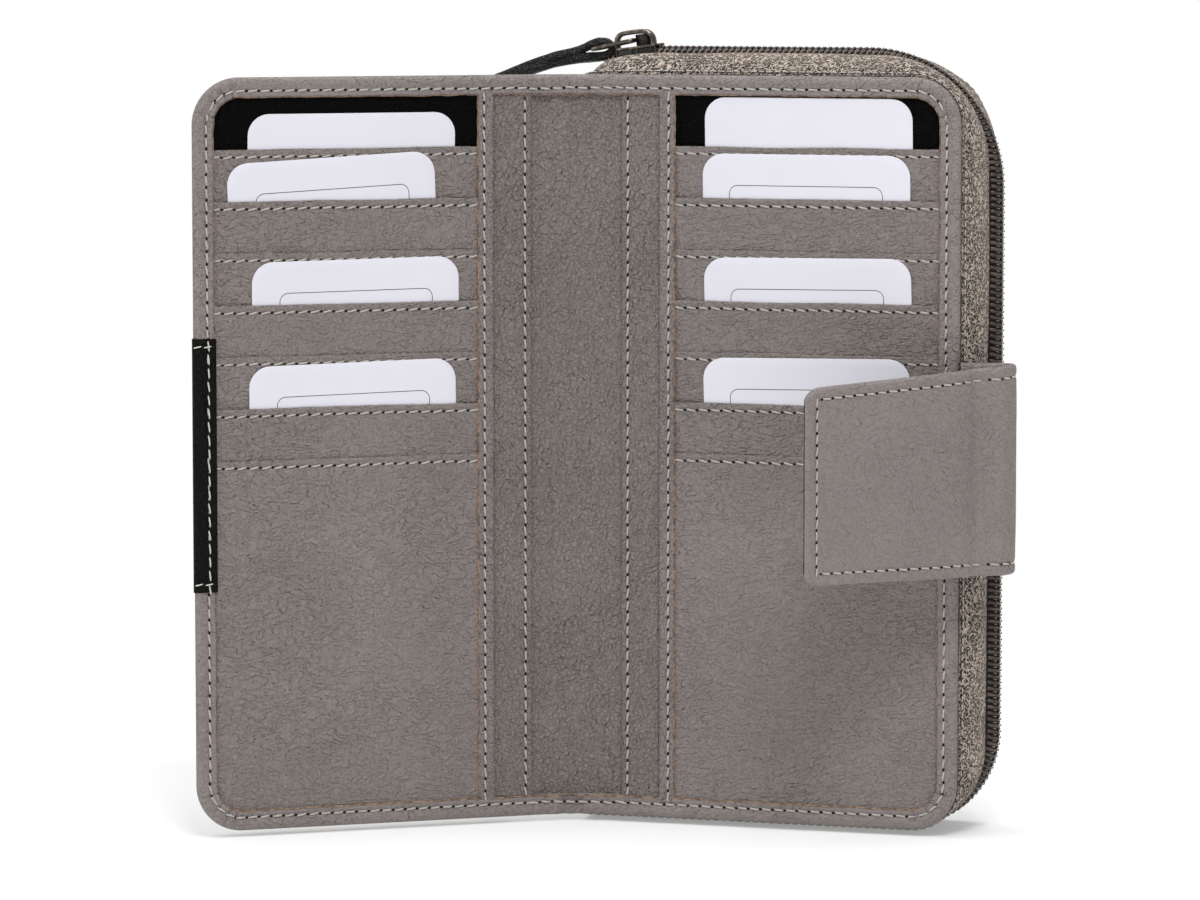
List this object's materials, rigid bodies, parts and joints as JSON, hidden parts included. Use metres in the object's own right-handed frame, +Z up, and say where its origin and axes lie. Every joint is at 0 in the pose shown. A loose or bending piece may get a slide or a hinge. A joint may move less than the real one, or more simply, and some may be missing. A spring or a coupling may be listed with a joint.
{
  "type": "zip-around folding wallet",
  "caption": "Tall leather wallet that opens like a book, with stepped card pockets, a rear zip compartment and a closing tab with a press stud.",
  "frame": {"origin": "middle of the bounding box's footprint, on the surface the wallet stands on", "axes": "+Z up along the height, +X along the half that carries the zip compartment, outwards from the spine, +Y from the card pockets towards the zip compartment's rear cover"},
  "size_m": [0.196, 0.0858, 0.2033],
  "materials": {
    "leather": "satin",
    "lining_black": "matte",
    "patch_leather": "satin",
    "card_stock": "satin",
    "zip_tape": "matte",
    "zip_chain": "satin",
    "gunmetal": "polished",
    "thong_leather": "satin"
  },
  "bodies": {
    "back_half": {"middle_wall": "leather", "back_lining": "lining_black", "back_note_divider": "leather", "back_edge_strip": "leather", "back_pocket_1": "leather", "back_pocket_2": "leather", "back_pocket_3": "leather", "back_pocket_4": "leather", "back_pocket_5": "leather", "back_pocket_6": "leather", "back_pocket_7": "leather", "coin_pocket": "lining_black", "front_spine_wall": "leather", "front_zip_tape": "zip_tape", "front_zip_teeth": "zip_chain", "spine_lining": "leather", "spine_cover": "leather", "top_gusset": "lining_black", "bottom_gusset": "lining_black"},
    "front_half": {"front_cover": "leather", "front_patch": "patch_leather", "front_snap_stud": "gunmetal", "front_lining": "lining_black", "front_note_divider": "leather", "front_edge_strip": "leather", "front_pocket_1": "leather", "front_pocket_2": "leather", "front_pocket_3": "leather", "front_pocket_4": "leather", "front_pocket_5": "leather", "front_pocket_6": "leather", "front_pocket_7": "leather"},
    "rear_shell": {"rear_cover": "leather", "rear_lining": "lining_black", "rear_zip_tape": "zip_tape", "rear_zip_teeth": "zip_chain", "rear_spine_wall": "leather"},
    "slider": {"zip_slider": "gunmetal"},
    "ring": {"pull_ring": "gunmetal"},
    "thong": {"pull_thong": "thong_leather"},
    "tab_base": {"tab_base": "leather"},
    "tab_middle": {"tab_middle": "leather"},
    "tab_tip": {"tab_tip": "leather", "tab_snap_socket": "gunmetal"},
    "front_card_1": {"front_card_1": "card_stock"},
    "back_card_1": {"back_card_1": "card_stock"},
    "front_card_2": {"front_card_2": "card_stock"},
    "back_card_2": {"back_card_2": "card_stock"},
    "front_card_3": {"front_card_3": "card_stock"},
    "back_card_3": {"back_card_3": "card_stock"},
    "front_card_4": {"front_card_4": "card_stock"},
    "back_card_4": {"back_card_4": "card_stock"}
  },
  "joints": [
    {"name": "cover_fold", "type": "hinge", "parent": "back_half", "child": "front_half", "pos_m": [-0.01408, 0.0145, 0.0966], "axis": [0, 0, -1], "range_deg": [-145, 35], "deforming": ["spine_lining", "spine_cover"]},
    {"name": "zip_opening", "type": "hinge", "parent": "back_half", "child": "rear_shell", "pos_m": [-0.01228, 0.0294, 0.0966], "axis": [0, 0, -1], "range_deg": [-60, 0], "deforming": ["top_gusset", "bottom_gusset"]},
    {"name": "slider_slide", "type": "slide", "parent": "back_half", "child": "slider", "axis": [1, 0, 0], "range_m": [0, 0.066], "deforming": ["front_zip_teeth", "rear_zip_teeth", "pull_thong"]},
    {"name": "ring_hinge", "type": "hinge", "parent": "slider", "child": "ring", "pos_m": [-0.00278, 0.0294, 0.2015], "axis": [0, 1, 0], "range_deg": [0, 170]},
    {"name": "thong_hinge", "type": "hinge", "parent": "ring", "child": "thong", "pos_m": [-0.01352, 0.0294, 0.20037], "axis": [0, 1, 0], "range_deg": [-35, 35]},
    {"name": "tab_root", "type": "hinge", "parent": "back_half", "child": "tab_base", "pos_m": [0.08717, 0.0161, 0.0936], "axis": [0, 0, 1], "range_deg": [-38, 0]},
    {"name": "tab_bend", "type": "hinge", "parent": "tab_base", "child": "tab_middle", "pos_m": [0.09677, 0.0185, 0.0936], "axis": [0, 0, 1], "range_deg": [-9, 36.5]},
    {"name": "tab_tip_bend", "type": "hinge", "parent": "tab_middle", "child": "tab_tip", "pos_m": [0.08608, 0.00798, 0.0936], "axis": [0, 0, 1], "range_deg": [-42.8, 90]},
    {"name": "back_card_1_slide", "type": "slide", "parent": "back_half", "child": "back_card_1", "axis": [0, -0.0503, 0.9987], "range_m": [0, 0.078]},
    {"name": "front_card_1_slide", "type": "slide", "parent": "front_half", "child": "front_card_1", "axis": [0.0289, -0.0412, 0.9987], "range_m": [0, 0.078]},
    {"name": "back_card_2_slide", "type": "slide", "parent": "back_half", "child": "back_card_2", "axis": [0, -0.0503, 0.9987], "range_m": [0, 0.078]},
    {"name": "front_card_2_slide", "type": "slide", "parent": "front_half", "child": "front_card_2", "axis": [0.0289, -0.0412, 0.9987], "range_m": [0, 0.078]},
    {"name": "back_card_3_slide", "type": "slide", "parent": "back_half", "child": "back_card_3", "axis": [0, -0.0503, 0.9987], "range_m": [0, 0.078]},
    {"name": "front_card_3_slide", "type": "slide", "parent": "front_half", "child": "front_card_3", "axis": [0.0289, -0.0412, 0.9987], "range_m": [0, 0.078]},
    {"name": "back_card_4_slide", "type": "slide", "parent": "back_half", "child": "back_card_4", "axis": [0, -0.0503, 0.9987], "range_m": [0, 0.078]},
    {"name": "front_card_4_slide", "type": "slide", "parent": "front_half", "child": "front_card_4", "axis": [0.0289, -0.0412, 0.9987], "range_m": [0, 0.078]}
  ],
  "couplings": [
    {"joint": "tab_bend", "follows": "cover_fold", "ratio": -0.25}
  ]
}
